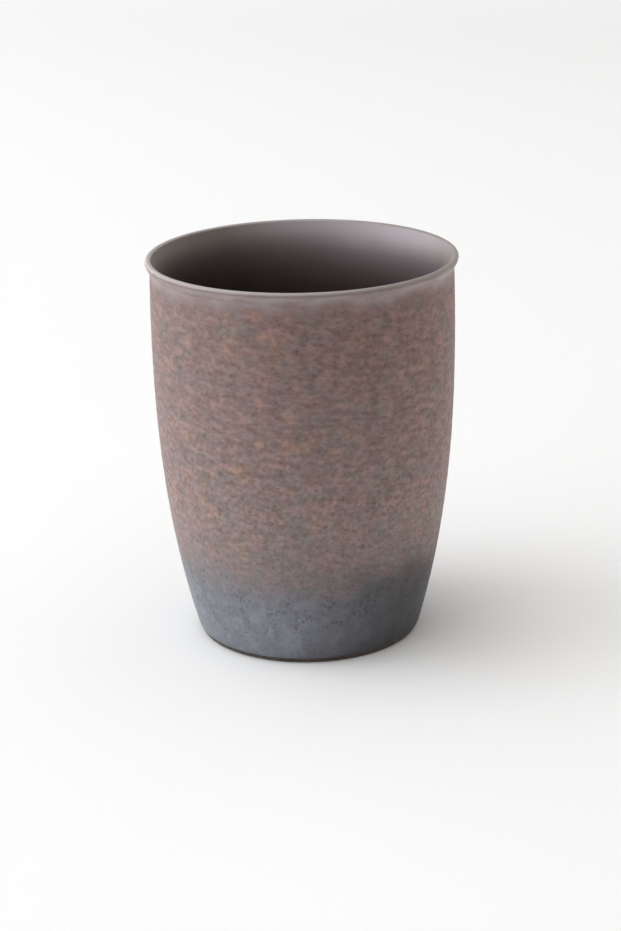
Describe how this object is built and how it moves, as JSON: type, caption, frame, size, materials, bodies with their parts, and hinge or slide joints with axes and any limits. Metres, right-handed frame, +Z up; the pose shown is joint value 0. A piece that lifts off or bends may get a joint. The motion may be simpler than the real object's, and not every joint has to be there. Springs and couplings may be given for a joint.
{
  "type": "handleless stoneware cup",
  "caption": "Handleless round stoneware cup with a full wall, a thin flared lip, a trimmed foot ring, a dark liner glaze inside, and a mottled rust glaze over a blue-grey base band outside.",
  "frame": {"origin": "on the table, under the middle of the foot ring", "axes": "+Z up along the cup's axis, from the foot to the mouth; the cup is round, so +X is any direction across it"},
  "size_m": [0.08, 0.08, 0.101],
  "materials": {
    "stoneware": "bare fired clay, matt and slightly gritty",
    "liner_glaze": "smooth satin dark brown-grey",
    "outer_glaze": "matt mottled rust and mauve-brown",
    "base_glaze": "satin blue-grey with dark pits"
  },
  "bodies": {
    "root": {"stoneware_body": "stoneware", "liner_glaze": "liner_glaze", "outer_glaze": "outer_glaze", "base_glaze": "base_glaze"}
  },
  "joints": []
}
